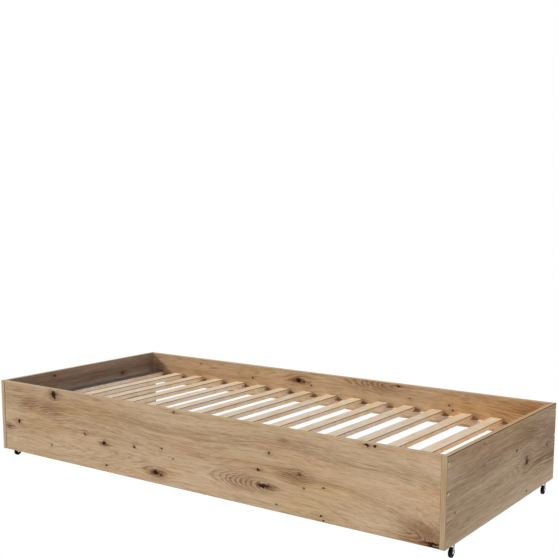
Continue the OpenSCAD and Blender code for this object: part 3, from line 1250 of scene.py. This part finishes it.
@dataclass
class Boards:
    """The four boards and their edge bands, dressed in oak laminate."""

    nodes: dict[str, Thing]
    front: Figure = Figure(
        knots=(
            Knot(-0.63, 0.283, 0.011, 1.0, 0.55, 0.9, 1.1),
            Knot(-0.624, 0.272, 0.005, 1.0, 0.28, 0.3, 1.3),
            Knot(-0.135, 0.077, 0.012, 1.0, 0.9, 0.9, 0.72),
            Knot(-0.112, 0.073, 0.006, 0.75, 0.5, 0.3),
            Knot(0.310, 0.111, 0.012, 1.0, 1.0, 1.1, 0.45),
            Knot(0.323, 0.113, 0.010, 0.9, 0.9, 0.5, 0.35),
            Knot(0.884, 0.051, 0.021, 1.0, 0.9, 0.3, 0.16),
            Knot(0.881, 0.044, 0.006, 1.0, 0.9, 0.3, 1.4),
            Knot(0.893, 0.040, 0.014, 1.0, 0.9, 0.3, 0.25),
            Knot(0.868, 0.066, 0.021, 0.0, 1.0, 0.0, 0.8),
            Knot(0.675, 0.297, 0.007, 1.0, 0.5, 0.3, 0.7),
            Knot(0.700, 0.297, 0.006, 1.0, 0.28, 0.3, 0.6),
            Knot(-0.825, 0.157, 0.006, 1.0, 0.39, 0.5, 1.1),
            Knot(-0.882, 0.13, 0.007, 0.45, 0.8, 0.4),
            Knot(-0.47, 0.158, 0.0045, 0.8, 0.28, 0.3, 1.3),
            Knot(-0.375, 0.14, 0.007, 1.0, 0.6, 0.5, 1.0),
            Knot(-0.23, 0.15, 0.004, 0.9, 0.22, 0.3, 1.5),
            Knot(-0.107, 0.164, 0.004, 0.8, 0.17, 0.2),
            Knot(-0.366, 0.063, 0.005, 0.9, 0.28, 0.3),
            Knot(-0.646, 0.093, 0.004, 0.7, 0.22, 0.2),
            Knot(-0.05, 0.295, 0.006, 0.6, 0.44, 0.3, 0.6),
            Knot(-0.057, 0.135, 0.004, 0.7, 0.17, 0.2),
            Knot(0.292, 0.16, 0.006, 1.0, 0.28, 0.4, 0.7),
            Knot(0.334, 0.219, 0.004, 0.9, 0.22, 0.2, 1.2),
            Knot(0.386, 0.264, 0.005, 0.15, 0.5, 0.3),
            Knot(0.447, 0.171, 0.006, 0.45, 0.9, 0.6, 1.0),
            Knot(0.428, 0.160, 0.015, 0.0, 0.85, 0.5, 0.7),
            Knot(0.462, 0.131, 0.0035, 0.8, 0.17, 0.1),
            Knot(0.529, 0.144, 0.004, 0.9, 0.22, 0.2, 0.7),
            Knot(0.362, 0.062, 0.0035, 0.8, 0.11, 0.1),
            Knot(0.523, 0.057, 0.0045, 0.9, 0.17, 0.2),
            Knot(0.533, 0.044, 0.0045, 0.8, 0.17, 0.2),
            Knot(-0.65, 0.222, 0.017, 0.0, 0.6, 0.3),
            Knot(-0.76, 0.228, 0.014, 0.0, 0.5, 0.3),
            Knot(0.235, 0.112, 0.030, 0.0, 0.66, 0.0, 0.42),
        ),
        arches=(Arch(-0.45, 0.90, 0.042, 1.0), Arch(0.215, 0.28, 0.044)),
        fans=(Fan(0.884, 0.045, 0.028),),
        # Painted shade: a dark line at the front board's left end, where the left end board's rounded
        # front edge turns away from the key light.
        shade_seams=(ShadeSeam(0, -0.905, 0.004, 0.75),),
        axis=0.103,
        fall=0.036,
        open_height=0.010,
    )
    back: Figure = Figure(
        knots=(
            Knot(-0.114, 0.266, 0.013, 1.0, 0.9, 0.8, 0.7),
            Knot(-0.09, 0.262, 0.006, 0.8, 0.5, 0.3, 0.7),
            Knot(-0.055, 0.254, 0.004, 0.9, 0.17, 0.2),
            Knot(0.333, 0.294, 0.006, 1.0, 0.5, 0.5, 0.6),
            Knot(0.24, 0.285, 0.026, 0.0, 0.6, 0.0, 0.45),
            Knot(0.382, 0.252, 0.004, 0.9, 0.17, 0.2),
            Knot(0.541, 0.247, 0.005, 0.9, 0.22, 0.2),
            Knot(0.553, 0.231, 0.005, 0.9, 0.22, 0.2),
            Knot(-0.345, 0.253, 0.005, 0.9, 0.28, 0.3),
            Knot(-0.623, 0.283, 0.004, 0.7, 0.17, 0.2),
            Knot(0.87, 0.262, 0.026, 0.0, 0.9, 0.0, 0.5),
        ),
        arches=(Arch(-0.45, 0.90, 0.036, 1.0), Arch(0.21, 0.26, 0.038)),
        fans=(Fan(0.945, 0.232, 0.032),),
        axis=0.285,
        fall=0.03,
        open_height=0.010,
    )
    right: Figure = Figure(
        knots=(
            Knot(0.168, 0.156, 0.008, 1.0, 0.8, 1.7, 1.2),
            Knot(0.172, 0.166, 0.015, 0.0, 0.6, 0.3, 1.2),
            Knot(0.078, 0.213, 0.006, 1.0, 0.22, 0.4),
            Knot(0.345, 0.174, 0.006, 1.0, 0.33, 0.8, 1.0),
            Knot(-0.172, 0.221, 0.004, 0.55, 0.06, 0.3),
            Knot(-0.176, 0.286, 0.005, 0.3, 0.3, 0.3),
            Knot(0.173, 0.057, 0.004, 0.8, 0.11, 0.3),
            Knot(-0.368, 0.131, 0.0035, 0.7, 0.06, 0.3, 1.2),
            Knot(0.20, 0.245, 0.045, 0.0, 0.45, 0.0, 0.4),
            Knot(-0.20, 0.240, 0.050, 0.0, 0.40, 0.0, 0.4),
            Knot(0.38, 0.17, 0.045, 0.0, 0.5, 0.0, 0.8),
        ),
        arches=(Arch(0.05, 0.25, 0.020, 1.0),),
        axis=0.135,
        open_height=0.008,
    )
    left: Figure = Figure(
        knots=(
            Knot(-0.173, 0.285, 0.005, 0.9, 0.3, 0.2),
            Knot(0.21, 0.24, 0.008, 0.5, 0.7, 0.5),
            Knot(-0.02, 0.12, 0.009, 0.9, 0.8, 1.0),
        ),
    )
    weathered: OakTones = OakTones(
        line=(0.25, 0.145, 0.075),
        dark=(0.435, 0.28, 0.16),
        middle=(0.595, 0.41, 0.255),
        light=(0.75, 0.57, 0.385),
    )
    # Painted shade: the left end board's tones are darker all over, for its inner face in shade.
    shade_darkened_tones: OakTones = OakTones(
        line=(0.22, 0.135, 0.09),
        dark=(0.33, 0.225, 0.155),
        middle=(0.43, 0.32, 0.24),
        light=(0.54, 0.42, 0.33),
    )
    flat: OakTones = OakTones(
        line=(0.30, 0.205, 0.12),
        dark=(0.385, 0.275, 0.165),
        middle=(0.45, 0.335, 0.215),
        light=(0.51, 0.395, 0.26),
    )
    upright: OakTones = OakTones(
        line=(0.37, 0.25, 0.14),
        dark=(0.48, 0.34, 0.20),
        middle=(0.56, 0.41, 0.255),
        light=(0.63, 0.49, 0.32),
    )
    # The width and strength of the painted shade line along the right end board's outer top edge.
    rim_width: float = 2.2 * MM
    rim_dark: float = 0.8

    def dress(self) -> None:
        """Give every board and band its finish."""
        self._board("front_board", Grain.LENGTH, 3.1, -1.0, self.front)
        self._board("back_board", Grain.LENGTH, 11.7, -1.0, self.back)
        self._board("right_end_board", Grain.DEPTH, 21.3, 1.0, self.right, self.weathered)
        # The left end board takes the darker tones as painted shade.
        self._board("left_end_board", Grain.DEPTH, 31.9, 1.0, self.left, self.shade_darkened_tones)
        self._bands()

    def _board(
        self,
        node: str,
        grain: Grain,
        shift: float,
        side: float,
        figure: Figure,
        tones: OakTones = OakTones(),
    ) -> None:
        """Dress one board.

        Args:
            node: The board's node.
            grain: The way its grain runs.
            shift: What sets its pattern apart from the others'.
            side: 1 if the marked face is the one further along the through axis, else -1.
            figure: The knots and arches on that face.
            tones: Its colours.
        """
        low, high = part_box(node)
        through = grain.value[1]
        face = high[through] if side > 0 else low[through]
        finish = OakLaminate(f"{node}_oak", grain, shift, face, tones, figure)
        dress(self.nodes[node], finish.make())
        LOG.info("dressed %s", node)

    def _bands(self) -> None:
        """Dress the edge bands, whose print has no knots and is a little yellower."""
        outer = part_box("right_end_top_band")[1].x
        plain = Figure()
        # Painted shade: a dark line along the right end board's outer top edge, where its rounded edge
        # turns away from the key light.
        rim = Figure(shade_seams=(ShadeSeam(2, outer, self.rim_width, self.rim_dark),))
        for key, way, tones, figure in (
            ("board_top_band", Grain.FLAT_LENGTH, self.flat, plain),
            ("board_bottom_band", Grain.FLAT_LENGTH, self.flat, plain),
            ("end_top_band", Grain.FLAT_DEPTH, self.flat, rim),
            ("end_bottom_band", Grain.FLAT_DEPTH, self.flat, plain),
            ("end_front_band", Grain.UPRIGHT, self.upright, plain),
            ("end_back_band", Grain.UPRIGHT, self.upright, plain),
        ):
            finish = OakLaminate(f"{key}_oak", way, 5.0 + len(key), tones=tones, figure=figure).make()
            for name in [n for n in self.nodes if n.endswith(key)]:
                dress(self.nodes[name], finish)
                LOG.info("dressed %s", name)


@dataclass
class SlattedBase:
    """The slats, the ledges that carry them, and their fastenings."""

    nodes: dict[str, Thing]
    pitch: float = 0.113
    first: float = -0.859
    wide_pitch: float = 5.0
    # Painted light: the ledge's colours are lightened against the slats' shadows on the ledge tops.
    ledge_lightened_pale: Colour = (0.77, 0.59, 0.46)
    ledge_lightened_warm: Colour = (0.68, 0.49, 0.33)
    beech_pale: Colour = (0.52, 0.38, 0.24)
    beech_warm: Colour = (0.48, 0.33, 0.19)

    def dress(self) -> None:
        """Give the slats, ledges and fastenings their finishes."""
        start = self.first - self.pitch / 2
        low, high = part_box("slat_01")
        half = (high.x - low.x) / 2
        slat = SlatPine("slat_wood", Grain.FLAT_DEPTH, self.pitch, start, half, high.z).make()
        # The ledge wood is lightened as painted light.
        ledge = self._whole("ledge_wood_lightened", self.ledge_lightened_pale, self.ledge_lightened_warm)
        zinc = Metal("zinc", (0.60, 0.60, 0.57), (0.42, 0.42, 0.41), 0.32).make()
        beech = self._whole("beech", self.beech_pale, self.beech_warm)
        for name, node in self.nodes.items():
            if name.startswith("slat_") and name != "slat_nails":
                dress(node, slat)
            elif name.endswith("_ledge"):
                dress(node, ledge)
            elif name.endswith(("_screws", "_nails")):
                dress(node, zinc)
            elif name.endswith("_dowels"):
                dress(node, beech)
            else:
                continue
            LOG.info("dressed %s", name)

    def _whole(self, name: str, pale: Colour, warm: Colour) -> Material:
        """Make wood for long pieces, which have one pattern and no slats to tell apart.

        Args:
            name: The material's name.
            pale: Its paler colour.
            warm: Its warmer colour.

        Returns:
            The material.
        """
        start = -self.wide_pitch / 2
        return SlatPine(name, Grain.LENGTH, self.wide_pitch, start, pale=pale, warm=warm).make()


def dress(node: Thing, material: Material) -> None:
    """Put one material on a whole object.

    Args:
        node: The object.
        material: Its new material.
    """
    node.data.materials.clear()
    node.data.materials.append(material)


@dataclass
class Studio:
    """Pale floor, soft light and the camera."""

    floor_size: float = 60.0
    floor_light: float = 1.0
    floor_colour: Colour = (1.0, 1.0, 1.0)
    sun_heading: Point = (1.5, 0.25, -1.0)
    sun_strength: float = 6.0
    sun_softness: float = 6.0
    sun_colour: Colour = (1.0, 0.965, 0.91)
    sky_colour: Colour = (0.60, 0.74, 1.0)
    sky_strength: float = 0.21
    camera_place: Point = (1.983, -2.715, 0.982)
    camera_turn: float = -36.25
    camera_tilt: float = 8.35
    lens: float = 61.48
    shift: Pair = (0.033, 0.109)

    def build(self) -> None:
        """Make the floor, the lights and the camera."""
        self._floor()
        self._sky()
        self._sun()
        self._camera()

    def _floor(self) -> None:
        """Lay a pale floor that shows as plain paper white and glows evenly for every other ray."""
        mesh = bmesh.new()
        bmesh.ops.create_grid(mesh, x_segments=2, y_segments=2, size=self.floor_size / 2)
        g = Graph("floor_paper")
        seen = g.node("LightPath").outputs["Is Camera Ray"]
        paper = g.node("Emission")
        g.put(paper.inputs["Color"], (1.0, 1.0, 1.0))
        glow = g.node("Emission")
        g.put(glow.inputs["Color"], self.floor_colour)
        g.put(glow.inputs["Strength"], self.floor_light)
        either = g.node("MixShader")
        g.put(either.inputs[0], seen)
        g.put(either.inputs[1], glow.outputs[0])
        g.put(either.inputs[2], paper.outputs[0])
        g.put(g.tree.nodes["Material Output"].inputs["Surface"], either.outputs[0])
        made = Shop.finish("floor", mesh, g.material)

    def _sky(self) -> None:
        """Fill the world with white that lights the scene only faintly."""
        world = bpy.data.worlds.new("studio")
        bpy.context.scene.world = world
        world.use_nodes = True
        tree = world.node_tree
        output = tree.nodes["World Output"]
        seen = tree.nodes.new("ShaderNodeLightPath")
        either = tree.nodes.new("ShaderNodeMixShader")
        light, paper = (tree.nodes.new("ShaderNodeBackground") for _ in range(2))
        light.inputs["Color"].default_value = (*self.sky_colour, 1.0)
        light.inputs["Strength"].default_value = self.sky_strength
        tree.links.new(seen.outputs["Is Camera Ray"], either.inputs[0])
        tree.links.new(light.outputs[0], either.inputs[1])
        tree.links.new(paper.outputs[0], either.inputs[2])
        paper.inputs["Color"].default_value = (1.0, 1.0, 1.0, 1.0)
        tree.links.new(either.outputs[0], output.inputs["Surface"])

    def _sun(self) -> None:
        """Hang the broad key light, high on the left and a little to the front."""
        data = bpy.data.lights.new("key", "SUN")
        data.energy = self.sun_strength
        data.angle = math.radians(self.sun_softness)
        data.color = self.sun_colour
        lamp = bpy.data.objects.new("key", data)
        lamp.rotation_euler = Vector(self.sun_heading).to_track_quat("-Z", "Y").to_euler()
        bpy.context.scene.collection.objects.link(lamp)

    def _camera(self) -> None:
        """Set the camera up, to the right in front of the box."""
        data = bpy.data.cameras.new("camera")
        data.lens = self.lens
        data.sensor_width = 36.0
        data.shift_x, data.shift_y = self.shift
        data.clip_start, data.clip_end = 0.05, 100.0
        camera = bpy.data.objects.new("camera", data)
        turn, tilt = math.radians(self.camera_turn), math.radians(self.camera_tilt)
        level = math.cos(tilt)
        heading = Vector((math.sin(turn) * level, math.cos(turn) * level, -math.sin(tilt)))
        camera.location = self.camera_place
        camera.rotation_euler = heading.to_track_quat("-Z", "Y").to_euler()
        bpy.context.scene.collection.objects.link(camera)
        bpy.context.scene.camera = camera


@dataclass
class UnderBedBox:
    """The whole box: boards, slatted base, screw covers and castors."""

    nodes: dict[str, Thing]
    corners: tuple[Corner, ...] = field(default_factory=lambda: tuple(Corner))

    def build(self) -> None:
        """Build and dress every sub-assembly."""
        Boards(self.nodes).dress()
        SlattedBase(self.nodes).dress()
        steel = Metal("fork_zinc", (0.40, 0.375, 0.42), (0.30, 0.28, 0.32), 0.34).make()
        bright = Metal("axle_zinc", (0.76, 0.74, 0.82), (0.60, 0.58, 0.64), 0.26).make()
        dark = Metal("socket_zinc", (0.30, 0.30, 0.31), (0.20, 0.20, 0.21), 0.4).make()
        black = MouldedPlastic("black_plastic", (0.0025, 0.0025, 0.0028), (0.006, 0.0056, 0.0056)).make()
        brass = Metal("brass", (0.62, 0.55, 0.36), (0.40, 0.34, 0.17), 0.26).make()
        for side in ("left", "right"):
            LOG.info("built %s", ScrewCovers(side, brass).build().name)
        for corner in self.corners:
            for piece in Castor(corner, steel, bright, black, dark).build():
                LOG.info("built %s", piece.name)


def main() -> None:
    """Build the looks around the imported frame."""
    logging.basicConfig(level=logging.INFO, format="%(name)s: %(message)s")
    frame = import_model()
    bpy.context.scene.view_settings.view_transform = "Standard"
    UnderBedBox(frame["nodes"]).build()
    Studio().build()
    LOG.info("sizes written")


if __name__ == "__main__":
    main()
